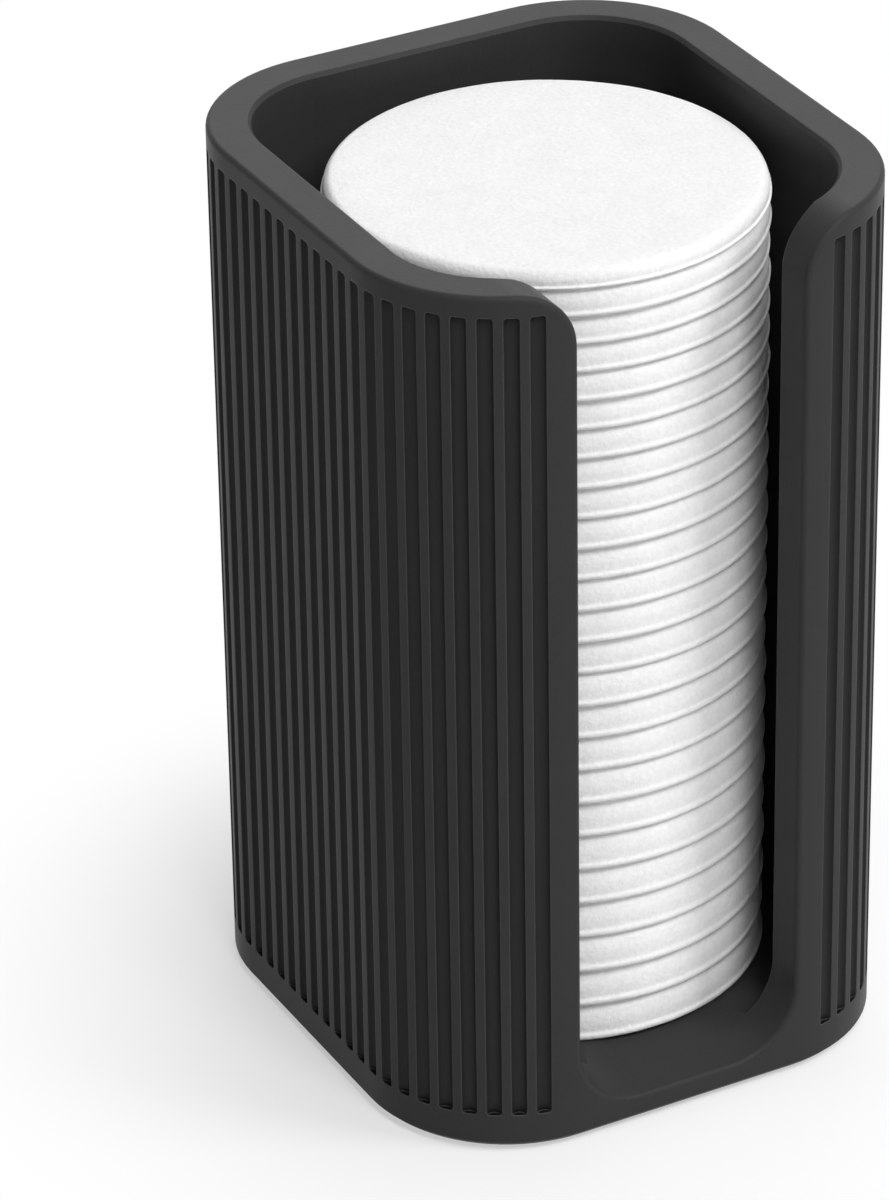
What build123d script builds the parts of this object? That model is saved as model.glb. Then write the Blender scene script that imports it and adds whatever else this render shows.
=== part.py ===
"""Cotton pad dispenser: a fluted, open-topped holder with a front slot, and the stack of round pads in it.

Millimetres, +Z up. The origin is on the surface that the holder stands on, under the middle of its plan,
and the slot faces -Y.
"""
from build123d import *
import os

# Holder, over all
WIDTH = 75.0
DEPTH = 78.0
HEIGHT = 128.3
CORNER_RADIUS = 21.0
WALL = 6.0
FLOOR_TOP = 7.2

# Edges of the moulding, rounded round the rim and the slot and bevelled at the mouth and the base
RIM_ROUND = 0.7
MOUTH_BEVEL = 0.5
BASE_BEVEL = 0.8

# Front slot, whose sill runs up from the front edge to the floor under the pads
SLOT_WIDTH = 33.2
SLOT_TOP_RADIUS = 8.2
SLOT_BOTTOM_RADIUS = 9.5
SILL_FRONT = 4.1
SILL_RUN = 12.0

# Flutes, upright round-bottomed grooves with bevelled ends
FLUTE_PITCH = 3.4
FLUTE_WIDTH = 2.1
FLUTE_DEPTH = 0.8
FLUTE_END_BEVEL = 0.35
FLUTE_TOP_BAND = 2.9
FLUTE_BASE_BAND = 5.8
FLUTE_SLOT_BAND = 4.4

# Non-slip feet, set in pockets under the base
FOOT_DIAMETER = 9.0
FOOT_THICKNESS = 2.0
FOOT_STAND = 0.6
FOOT_INSET = 15.0
FOOT_CLEARANCE = 0.2

# Cotton pads, measured across the flats, the thickest at the bottom of the stack and the thinnest on top
PAD_COUNT = 25
PAD_SIDES = 28
PAD_DIAMETER = 59.4
PAD_BOTTOM_THICKNESS = 5.6
PAD_UPPER_THICKNESS = 3.92
PAD_TOP_THICKNESS = 2.6
PAD_SHOULDER_DRAW = 0.9
PAD_SHOULDER_DROP_SHARE = 0.55
PAD_LIP_DRAW = 0.4
PAD_LIP_DROP_SHARE = 0.12
STACK_X = 0.3
STACK_Y = -0.4

OVERRUN = 2.0


def plan(inset):
    """The holder's rounded plan, drawn in by an inset."""
    return RectangleRounded(WIDTH - 2 * inset, DEPTH - 2 * inset, CORNER_RADIUS - inset)


def slot_cutter():
    """The slot: level at its rolled mouth, and sloping at its foot, where the sill runs up to the floor."""
    half = SLOT_WIDTH / 2
    middle = HEIGHT / 2
    sill_end = half - SLOT_BOTTOM_RADIUS
    side_low = SILL_FRONT + SLOT_BOTTOM_RADIUS
    side_high = HEIGHT - SLOT_TOP_RADIUS
    mouth = half + SLOT_TOP_RADIUS
    top = HEIGHT + OVERRUN
    upper = Line((-mouth, top), (mouth, top))
    upper += Line((-half, middle), (half, middle))
    lower = Line((-sill_end, SILL_FRONT), (sill_end, SILL_FRONT))
    lower += Line((-half, middle), (half, middle))
    for side in (1, -1):
        upper += Line((side * half, middle), (side * half, side_high))
        upper += RadiusArc((side * half, side_high), (side * mouth, HEIGHT), side * SLOT_TOP_RADIUS)
        upper += Line((side * mouth, HEIGHT), (side * mouth, top))
        lower += RadiusArc((side * sill_end, SILL_FRONT), (side * half, side_low), -side * SLOT_BOTTOM_RADIUS)
        lower += Line((side * half, side_low), (side * half, middle))
    front = Plane((0, -DEPTH / 2, 0), x_dir=(1, 0, 0), z_dir=(0, -1, 0))
    level = Vector(0, 1, 0)
    slope = Vector(0, SILL_RUN, FLOOR_TOP - SILL_FRONT).normalized()
    cutter = None
    for outline, way in ((upper, level), (lower, slope)):
        face = front * make_face(outline)
        piece = extrude(face, CORNER_RADIUS, dir=way) + extrude(face, OVERRUN, dir=-way)
        cutter = piece if cutter is None else cutter + piece
    return cutter


def flute_cutter():
    """One flute's cutter: an upright rod with bevelled ends, sunk by the flute's depth in a face of +Y."""
    radius = (FLUTE_WIDTH ** 2 / 4 + FLUTE_DEPTH ** 2) / (2 * FLUTE_DEPTH)
    length = HEIGHT - FLUTE_TOP_BAND - FLUTE_BASE_BAND
    outline = chamfer(Rectangle(4 * radius, length).vertices(), radius + FLUTE_END_BEVEL)
    rod = extrude(Plane.XZ * outline, 2 * radius, both=True) & Cylinder(radius, length)
    return Pos(0, radius - FLUTE_DEPTH, FLUTE_BASE_BAND + length / 2) * rod


def flutes():
    """Flutes at one pitch along both halves of the plan, from the slot's side bands to the back."""
    cutter = flute_cutter()
    path = FilletPolyline(
        (0, -DEPTH / 2), (-WIDTH / 2, -DEPTH / 2), (-WIDTH / 2, DEPTH / 2), (0, DEPTH / 2), radius=CORNER_RADIUS
    )
    first = SLOT_WIDTH / 2 + FLUTE_SLOT_BAND + FLUTE_WIDTH / 2
    run = path.length - first
    count = round(run / FLUTE_PITCH + 1 / 2)
    pitch = run / (count - 1 / 2)
    cutters = []
    for index in range(count):
        along = (first + index * pitch) / path.length
        point = path.position_at(along)
        turn = path.tangent_angle_at(along)
        cutters += [Pos(point.X, point.Y) * Rot(0, 0, turn) * cutter]
        cutters += [Pos(-point.X, point.Y) * Rot(0, 0, -turn) * cutter]
    return cutters


def foot_places():
    """Where the four feet stand, one in each corner of the base."""
    return GridLocations(WIDTH - 2 * FOOT_INSET, DEPTH - 2 * FOOT_INSET, 2, 2)


def holder():
    """The one-piece moulding: walls, floor, rim, slot, flutes and foot pockets."""
    body = Pos(0, 0, FOOT_STAND) * extrude(plan(0), HEIGHT - FOOT_STAND)
    body -= Pos(0, 0, FLOOR_TOP) * extrude(plan(WALL), HEIGHT)
    mouth = body.faces().sort_by(Axis.Z)[-1].inner_wires()[0].edges()
    body = chamfer(mouth, MOUTH_BEVEL)
    body -= slot_cutter()
    rim = body.edges().filter_by(Axis.X).group_by(Axis.Z)[-1].sort_by(Axis.Y)[-1]
    body = fillet(rim, RIM_ROUND)
    base = body.faces().sort_by(Axis.Z)[0].outer_wire().edges()
    body = chamfer(base, BASE_BEVEL)
    pocket = Cylinder(
        FOOT_DIAMETER / 2 + FOOT_CLEARANCE, FOOT_THICKNESS, align=(Align.CENTER, Align.CENTER, Align.MIN)
    )
    return body - flutes() - [place * pocket for place in foot_places()]


def base_feet():
    """Four round feet, seated against the roofs of their pockets."""
    foot = Cylinder(FOOT_DIAMETER / 2, FOOT_THICKNESS, align=(Align.CENTER, Align.CENTER, Align.MIN))
    return Compound(children=[place * foot for place in foot_places()])


def pad(thickness):
    """One pad: flat faces, a side that leans in to a soft shoulder, and a lip at its foot."""
    outline = RegularPolygon(PAD_DIAMETER / 2, PAD_SIDES, major_radius=False, rotation=180 / PAD_SIDES)
    disc = extrude(outline, thickness)
    edges = ((-1, PAD_SHOULDER_DRAW, PAD_SHOULDER_DROP_SHARE), (0, PAD_LIP_DRAW, PAD_LIP_DROP_SHARE))
    for end, draw, drop_share in edges:
        face = disc.faces().sort_by(Axis.Z)[end]
        disc = chamfer(face.edges(), draw, thickness * drop_share, reference=face)
    return disc


def pads():
    """The stack, from the floor up, each pad a little thinner than the one under it."""
    lower_count = PAD_COUNT - 1
    step = (PAD_UPPER_THICKNESS - PAD_BOTTOM_THICKNESS) / (lower_count - 1)
    thicknesses = [PAD_BOTTOM_THICKNESS + index * step for index in range(lower_count)]
    thicknesses += [PAD_TOP_THICKNESS]
    level = FLOOR_TOP
    stack = {}
    for index, thickness in enumerate(thicknesses):
        stack[f"pad_{index + 1:02d}"] = Pos(STACK_X, STACK_Y, level) * pad(thickness)
        level += thickness
    return stack


os.makedirs("parts", exist_ok=True)
nodes = {"holder": holder(), "base_feet": base_feet(), **pads()}
for name, shape in nodes.items():
    export_step(shape, f"parts/{name}.step")
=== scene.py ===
"""Cotton pad dispenser: a black fluted holder with a front slot, and the stack of cotton pads that stands in it."""
import bmesh
import bpy
import math
from mathutils import Matrix, Vector, noise as noise3


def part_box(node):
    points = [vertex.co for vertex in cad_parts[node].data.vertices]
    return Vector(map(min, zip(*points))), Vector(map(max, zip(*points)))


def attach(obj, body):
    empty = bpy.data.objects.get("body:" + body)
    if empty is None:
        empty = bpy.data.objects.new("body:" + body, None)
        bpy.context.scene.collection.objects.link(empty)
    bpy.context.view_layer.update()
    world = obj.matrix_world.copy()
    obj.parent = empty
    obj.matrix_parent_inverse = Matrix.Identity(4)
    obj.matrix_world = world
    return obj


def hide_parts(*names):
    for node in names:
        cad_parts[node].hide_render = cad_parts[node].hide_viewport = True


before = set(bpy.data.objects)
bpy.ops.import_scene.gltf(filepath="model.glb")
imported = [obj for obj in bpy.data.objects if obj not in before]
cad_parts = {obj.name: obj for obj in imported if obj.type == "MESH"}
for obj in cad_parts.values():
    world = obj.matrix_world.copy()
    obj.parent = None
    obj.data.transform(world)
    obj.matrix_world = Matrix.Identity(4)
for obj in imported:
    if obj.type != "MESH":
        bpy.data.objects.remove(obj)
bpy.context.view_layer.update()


# Holder: one injection moulding in black plastic, with upright flutes all round and a slot in its front.
# The mould is finely spark-eroded, so the surface is matt with a faint grain. A painted highlight makes the sharp
# edges a little paler, and painted shade makes the grooves of the flutes darker.

class Value:
    """One socket of a finish. Arithmetic on it adds Math nodes, and node() adds any other node."""

    def __init__(self, tree, socket=None):
        self.tree = tree
        self.socket = socket

    def node(self, kind, settings, sockets, output=0):
        """A new node with its settings and its sockets' values or links, as the value of one of its outputs."""
        made = self.tree.nodes.new("ShaderNode" + kind)
        for name, setting in settings.items():
            setattr(made, name, setting)
        for name, given in sockets.items():
            if isinstance(given, Value):
                self.tree.links.new(given.socket, made.inputs[name])
            else:
                made.inputs[name].default_value = given
        return Value(self.tree, made.outputs[output] if made.outputs else None)

    def math(self, operation, first, second):
        return self.node("Math", {"operation": operation}, {0: first, 1: second})

    def __add__(self, other):
        return self.math("ADD", self, other)

    def __radd__(self, other):
        return self.math("ADD", other, self)

    def __sub__(self, other):
        return self.math("SUBTRACT", self, other)

    def __rsub__(self, other):
        return self.math("SUBTRACT", other, self)

    def __mul__(self, other):
        return self.math("MULTIPLY", self, other)

    def __rmul__(self, other):
        return self.math("MULTIPLY", other, self)


def new_finish(name):
    """An empty material, and the value that its nodes grow from: the place on the piece, in metres."""
    finish = bpy.data.materials.new(name)
    finish.use_nodes = True
    finish.node_tree.nodes.clear()
    return finish, Value(finish.node_tree).node("TexCoord", {}, {}, "Object")


def noise(place, size, detail=2.0):
    """Soft noise between 0 and 1, with patches of about the given size in metres."""
    return place.node("TexNoise", {}, {"Vector": place, "Scale": 1 / size, "Detail": detail}, "Fac")


# Where a Mix node that mixes colours has its mask, its two colours and its result
MIX_MASK, MIX_FIRST, MIX_SECOND, MIX_COLOUR = 0, 6, 7, 2


def blend(mask, first, second):
    """A colour that goes from the first to the second as a mask goes from 0 to 1."""
    sockets = {MIX_MASK: mask, MIX_FIRST: first, MIX_SECOND: second}
    return mask.node("Mix", {"data_type": "RGBA"}, sockets, MIX_COLOUR)


def bump(height, strength, depth, **others):
    """A normal that tilts with a height from 0 to 1, which stands for a depth in metres."""
    return height.node("Bump", {}, {"Strength": strength, "Distance": depth, "Height": height, **others})


def surface(finish, sockets):
    """The finish's shader, joined to its output."""
    start = Value(finish.node_tree)
    shader = start.node("BsdfPrincipled", {}, sockets)
    start.node("OutputMaterial", {}, {"Surface": shader})


def dress(node, finish):
    """Gives a piece that keeps its CAD shape its finish."""
    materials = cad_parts[node].data.materials
    materials.clear()
    materials.append(finish)


PLASTIC_DARK = (0.033, 0.033, 0.034, 1)
PLASTIC_PALE = (0.044, 0.044, 0.045, 1)
PLASTIC_GRAIN_SIZE = 0.00035
PLASTIC_GRAIN_SHARE = 0.6
PLASTIC_CLOUD_SIZE = 0.012
PLASTIC_CLOUD_SHARE = 0.4
PLASTIC_ROUGHNESS = 0.36
PLASTIC_ROUGHNESS_SPREAD = 0.12
PLASTIC_SHINE = 0.07
PLASTIC_RELIEF = 0.12
PLASTIC_RELIEF_DEPTH = 0.0002
EDGE_SOFTNESS = 0.00030
EDGE_SAMPLES = 6
PAINTED_EDGE_HIGHLIGHT = (0.16, 0.16, 0.16, 1)
PAINTED_EDGE_HIGHLIGHT_GAIN = 2.0
GROOVE_SHADE_REACH = 0.003
GROOVE_SHADE_SAMPLES = 8
PAINTED_GROOVE_SHADE = (0.006, 0.006, 0.006, 1)
PAINTED_GROOVE_SHADE_GAIN = 1.8

plastic, place = new_finish("black_plastic")
grain = noise(place, PLASTIC_GRAIN_SIZE, detail=3.0)
cloud = noise(place, PLASTIC_CLOUD_SIZE)
black = blend(PLASTIC_GRAIN_SHARE * grain + PLASTIC_CLOUD_SHARE * cloud, PLASTIC_DARK, PLASTIC_PALE)
# Painted shade: the plastic's colour is darkened within a few millimetres of its own walls, in the grooves and
# hollows where shade falls.
painted_shade_settings = {"samples": GROOVE_SHADE_SAMPLES, "only_local": True}
painted_shade_mask = 1 - place.node("AmbientOcclusion", painted_shade_settings, {"Distance": GROOVE_SHADE_REACH}, "AO")
groove_shaded_black = blend(PAINTED_GROOVE_SHADE_GAIN * painted_shade_mask, black, PAINTED_GROOVE_SHADE)
# Painted highlight: sharp edges, convex and hollow alike, are made paler where the softened normal turns away from
# the true one.
soft_edge = place.node("Bevel", {"samples": EDGE_SAMPLES}, {"Radius": EDGE_SOFTNESS})
straight = place.node("NewGeometry", {}, {}, "Normal")
painted_highlight_mask = 1 - place.node("VectorMath", {"operation": "DOT_PRODUCT"}, {0: soft_edge, 1: straight}, "Value")
surface(plastic, {
    "Base Color": blend(PAINTED_EDGE_HIGHLIGHT_GAIN * painted_highlight_mask, groove_shaded_black, PAINTED_EDGE_HIGHLIGHT),
    "Roughness": PLASTIC_ROUGHNESS + PLASTIC_ROUGHNESS_SPREAD * cloud,
    "Specular IOR Level": PLASTIC_SHINE,
    "Normal": bump(grain, PLASTIC_RELIEF, PLASTIC_RELIEF_DEPTH, Normal=soft_edge),
})
dress("holder", plastic)


# Feet: four discs of black rubber, pressed into round pockets under the base so that the holder doesn't slide.
# Moulded rubber is duller than the plastic and takes up dust.

RUBBER_DARK = (0.016, 0.016, 0.016, 1)
RUBBER_PALE = (0.040, 0.039, 0.038, 1)
RUBBER_DUST_SIZE = 0.004
RUBBER_GRAIN_SIZE = 0.0006
RUBBER_ROUGHNESS = 0.8
RUBBER_ROUGHNESS_SPREAD = 0.15
RUBBER_SHINE = 0.3
RUBBER_RELIEF = 0.2
RUBBER_RELIEF_DEPTH = 0.0003

rubber, place = new_finish("foot_rubber")
dust = noise(place, RUBBER_DUST_SIZE, detail=4.0)
surface(rubber, {
    "Base Color": blend(dust * dust, RUBBER_DARK, RUBBER_PALE),
    "Roughness": RUBBER_ROUGHNESS + RUBBER_ROUGHNESS_SPREAD * dust,
    "Specular IOR Level": RUBBER_SHINE,
    "Normal": bump(noise(place, RUBBER_GRAIN_SIZE, detail=3.0), RUBBER_RELIEF, RUBBER_RELIEF_DEPTH),
})
dress("base_feet", rubber)


# Pads: round pads of pressed cotton wadding, punched out of a web. The cut leaves each one a thin lip at its foot
# and draws its upper edge in. They lie loose in the holder, no two quite as round or as true as each other.

PAD_NAMES = sorted(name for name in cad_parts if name.startswith("pad_"))
PAD_FACETS = 144
PAD_FACE_RINGS = 9
PAD_SPARE = 0.00012
LEVEL_ENOUGH = 0.9

# Up the pad's side: each ring's height as a share of the thickness, and how far in from the rim it lies
PAD_SIDE = (
    (0.000, 0.00055), (0.015, 0.00036), (0.035, 0.00019), (0.065, 0.00007), (0.100, 0.00001), (0.135, 0.00000),
    (0.160, 0.00003), (0.180, 0.00008), (0.200, 0.00016), (0.225, 0.00023), (0.260, 0.00026), (0.340, 0.00024),
    (0.440, 0.00025), (0.540, 0.00030), (0.640, 0.00040), (0.730, 0.00053), (0.810, 0.00068), (0.880, 0.00085),
    (0.935, 0.00103), (0.975, 0.00124), (1.000, 0.00155),
)


def select_faces(obj, test):
    """Selects an edited piece's faces that pass a test on their middle and normal."""
    mesh = bmesh.from_edit_mesh(obj.data)
    bpy.ops.mesh.select_all(action="DESELECT")
    for face in mesh.faces:
        face.select_set(test(face.calc_center_median(), face.normal))
    bmesh.update_edit_mesh(obj.data)


def model_pad(radius, thickness):
    """One pad, its lower face on the ground at the origin: a disc drawn up ring by ring, with ringed faces."""
    bpy.ops.object.select_all(action="DESELECT")
    foot_radius = radius - PAD_SIDE[0][1]
    first_rise = PAD_SIDE[1][0] * thickness
    bpy.ops.mesh.primitive_cylinder_add(
        vertices=PAD_FACETS, radius=foot_radius, depth=first_rise,
        location=(0, 0, first_rise / 2), end_fill_type="NGON",
    )
    pad = bpy.context.object
    bpy.ops.object.transform_apply(location=True, rotation=True, scale=True)
    bpy.ops.object.mode_set(mode="EDIT")
    bpy.context.tool_settings.mesh_select_mode = (False, False, True)
    select_faces(pad, lambda middle, normal: normal.z > LEVEL_ENOUGH)
    level, width = first_rise, foot_radius
    for share, drawn in PAD_SIDE[1:]:
        rise = share * thickness - level
        if rise > 0:
            bpy.ops.mesh.extrude_region_move(TRANSFORM_OT_translate={"value": (0, 0, rise)})
        wider = (radius - drawn) / width
        bpy.ops.transform.resize(value=(wider, wider, 1), center_override=(0, 0, share * thickness))
        level, width = share * thickness, radius - drawn
    for side, face_radius in ((1, width), (-1, foot_radius)):
        ring = face_radius / (PAD_FACE_RINGS + 1)
        select_faces(
            pad, lambda middle, normal: side * normal.z > LEVEL_ENOUGH and middle.xy.length < ring / 2
        )
        for _ in range(PAD_FACE_RINGS):
            bpy.ops.mesh.inset(thickness=ring)
        bpy.ops.mesh.poke()
    bpy.ops.object.mode_set(mode="OBJECT")
    bpy.ops.object.shade_smooth()
    return pad


PAD_LEAN = 0.00007
PAD_OVAL = 0.00010
PAD_OVAL_SIZE = 0.020
PAD_LUMP = 0.00005
PAD_LUMP_SIZE = 0.004
PAD_DIMPLE = 0.00012
PAD_DIMPLE_SIZE = 0.006
PAD_RIM_FADE = 8
GOLDEN_TURN = math.radians(137.5)


def soften(pad, lowest, highest, turn):
    """Moves a pad's points in a little, so that its outline wavers and its faces are faintly dimpled."""
    middle = (lowest + highest) / 2
    lean = Vector((math.cos(turn), math.sin(turn), 0)) * PAD_LEAN
    apart = Vector((0, 0, turn))
    for point in pad.data.vertices:
        out = (point.co - middle) * Vector((1, 1, 0))
        reach = out.length / pad_radius
        oval, lump, dent = [
            noise3.noise(point.co / size + apart) - 1 for size in (PAD_OVAL_SIZE, PAD_LUMP_SIZE, PAD_DIMPLE_SIZE)
        ]
        out.normalize()
        rise = (point.co.z - lowest.z) / (highest.z - lowest.z)
        dimple = PAD_DIMPLE * dent * (1 - reach ** PAD_RIM_FADE)
        point.co += lean + out * reach * (PAD_OVAL * oval + PAD_LUMP * lump)
        point.co.z += dimple * (2 * rise - 1)


COTTON_DARK = (0.85, 0.85, 0.848, 1)
COTTON_PALE = (0.96, 0.96, 0.96, 1)
COTTON_MOTTLE_SIZE = 0.0035
COTTON_MOTTLE_GAIN = 0.8
COTTON_FLUFF_SIZE = 0.0007
COTTON_FLUFF_GAIN = 1.6
COTTON_SHADE = 0.7
COTTON_SWIRLS_PER_METRE = 900.0
COTTON_SWIRL_BEND = 0.0012
COTTON_FIBRES_PER_METRE = 1100.0
COTTON_ROUGHNESS = 0.95
COTTON_SHINE = 0.15
COTTON_SHEEN = 0.15
COTTON_SHEEN_ROUGHNESS = 0.6
COTTON_RELIEF = 0.5
COTTON_RELIEF_DEPTH = 0.0003
COTTON_FLUFF_SHARE = 0.6
COTTON_FIBRE_SHARE = 0.4

cotton, place = new_finish("cotton_wadding")
swirls = {"Vector": place, "Scale": COTTON_SWIRLS_PER_METRE, "Detail": 2.0}
swirl = place.node("TexNoise", {}, swirls, "Color")
bend = place.node("VectorMath", {"operation": "SCALE"}, {0: swirl, "Scale": COTTON_SWIRL_BEND})
bent = place.node("VectorMath", {"operation": "ADD"}, {0: place, 1: bend})
cells = {"Vector": bent, "Scale": COTTON_FIBRES_PER_METRE}
fibres = place.node("TexVoronoi", {"feature": "DISTANCE_TO_EDGE"}, cells, "Distance")
mottle = noise(place, COTTON_MOTTLE_SIZE, detail=4.0)
fluff = noise(place, COTTON_FLUFF_SIZE, detail=5.0)
paleness = COTTON_MOTTLE_GAIN * mottle + COTTON_FLUFF_GAIN * fluff - COTTON_SHADE
relief = COTTON_FLUFF_SHARE * fluff + COTTON_FIBRE_SHARE * fibres
surface(cotton, {
    "Base Color": blend(paleness, COTTON_DARK, COTTON_PALE),
    "Roughness": COTTON_ROUGHNESS,
    "Specular IOR Level": COTTON_SHINE,
    "Sheen Weight": COTTON_SHEEN,
    "Sheen Roughness": COTTON_SHEEN_ROUGHNESS,
    "Normal": bump(relief, COTTON_RELIEF, COTTON_RELIEF_DEPTH),
})

lowest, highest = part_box(PAD_NAMES[0])
pad_radius = (highest.x - lowest.x) / 2 - PAD_SPARE
pattern_thickness = highest.z - lowest.z
pad_pattern = model_pad(pad_radius, pattern_thickness)
pad_pattern.data.materials.append(cotton)
for index, name in enumerate(PAD_NAMES):
    lowest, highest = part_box(name)
    middle = (lowest + highest) / 2
    turn = index * GOLDEN_TURN
    pad = pad_pattern.copy()
    pad.data = pad_pattern.data.copy()
    pad.name = f"cotton_{name}"
    bpy.context.scene.collection.objects.link(pad)
    seat = Matrix.Translation((middle.x, middle.y, lowest.z)) @ Matrix.Rotation(turn, 4, "Z")
    pad.data.transform(seat @ Matrix.Diagonal((1, 1, (highest.z - lowest.z) / pattern_thickness, 1)))
    soften(pad, lowest, highest, turn)
    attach(pad, name)
    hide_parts(name)
bpy.data.objects.remove(pad_pattern)


# Stage: a pale floor that runs out of view, under soft lights from the front, both sides, above and behind.
# It keeps the object's soft shadow and is plain white further out. The camera stands to the left of the slot
# and looks down on the rim.

WHITE = (1, 1, 1, 1)
FLOOR_REACH = 3.0
FLOOR_COLOUR = (0.93, 0.93, 0.93, 1)
FLOOR_WHITE_SHARE = 0.46
SHADOW_NEAR = 0.030
SHADOW_FAR = 0.095


def seen_rays(start):
    """1 for what the camera sees directly, in a reflection or through something clear, and 0 for other light."""
    kinds = ("Is Camera Ray", "Is Glossy Ray", "Is Transmission Ray")
    camera_ray, glossy_ray, clear_ray = [start.node("LightPath", {}, {}, kind) for kind in kinds]
    return camera_ray + glossy_ray + clear_ray


bpy.ops.object.select_all(action="DESELECT")
bpy.ops.mesh.primitive_plane_add(size=2 * FLOOR_REACH, location=(0, 0, 0))
floor = bpy.context.object
floor.name = "floor"
paper, place = new_finish("floor_paper")
lit = place.node("BsdfDiffuse", {}, {"Color": FLOOR_COLOUR})
white = place.node("Emission", {}, {"Color": WHITE, "Strength": 1.0})
away = place.node("VectorMath", {"operation": "LENGTH"}, {0: place}, "Value")
white_share = place.node("MapRange", {"interpolation_type": "SMOOTHSTEP"}, {
    "Value": away, "From Min": SHADOW_NEAR, "From Max": SHADOW_FAR,
    "To Min": FLOOR_WHITE_SHARE, "To Max": 1.0,
})
mixed = place.node("MixShader", {}, {0: white_share * seen_rays(place), 1: lit, 2: white})
place.node("OutputMaterial", {}, {"Surface": mixed})
floor.data.materials.append(paper)

OBJECT_MIDDLE = Vector((0, 0, 0.06))


def softbox(name, stand, size, power):
    """A square lamp that faces the object."""
    lamp = bpy.data.lights.new(name, "AREA")
    lamp.size = size
    lamp.energy = power
    box = bpy.data.objects.new(name, lamp)
    box.location = stand
    box.rotation_euler = (OBJECT_MIDDLE - Vector(stand)).to_track_quat("-Z", "Y").to_euler()
    bpy.context.scene.collection.objects.link(box)


softbox("key", (-0.06, -1.34, 2.05), size=0.90, power=28.0)
softbox("side", (1.34, -1.16, 1.68), size=0.70, power=22.5)
softbox("fill", (-1.02, -1.92, 1.07), size=0.60, power=4.0)
softbox("back", (0.98, 1.84, 1.26), size=1.40, power=10.0)
softbox("top", (0.50, 0.15, 2.20), size=1.50, power=12.0)

AMBIENT = 0.03

world = bpy.data.worlds.new("studio")
bpy.context.scene.world = world
world.use_nodes = True
world.node_tree.nodes.clear()
air = Value(world.node_tree)
brightness = AMBIENT + (1 - AMBIENT) * seen_rays(air)
sky = air.node("Background", {}, {"Color": WHITE, "Strength": brightness})
air.node("OutputWorld", {}, {"Surface": sky})

CAMERA_PLACE = Vector((-0.36030, -0.64888, 0.48507))
CAMERA_AIM = Vector((-0.01208, 0.00642, 0.05978))
CAMERA_ROLL = math.radians(-0.951)
CAMERA_LENS = 189.47
CAMERA_SENSOR = 36.0

lens = bpy.data.cameras.new("camera")
lens.lens = CAMERA_LENS
lens.sensor_width = CAMERA_SENSOR
camera = bpy.data.objects.new("camera", lens)
look = (CAMERA_AIM - CAMERA_PLACE).to_track_quat("-Z", "Y").to_matrix().to_4x4()
camera.matrix_world = Matrix.Translation(CAMERA_PLACE) @ look @ Matrix.Rotation(CAMERA_ROLL, 4, "Z")
bpy.context.scene.collection.objects.link(camera)
bpy.context.scene.camera = camera
bpy.context.scene.view_settings.view_transform = "Standard"
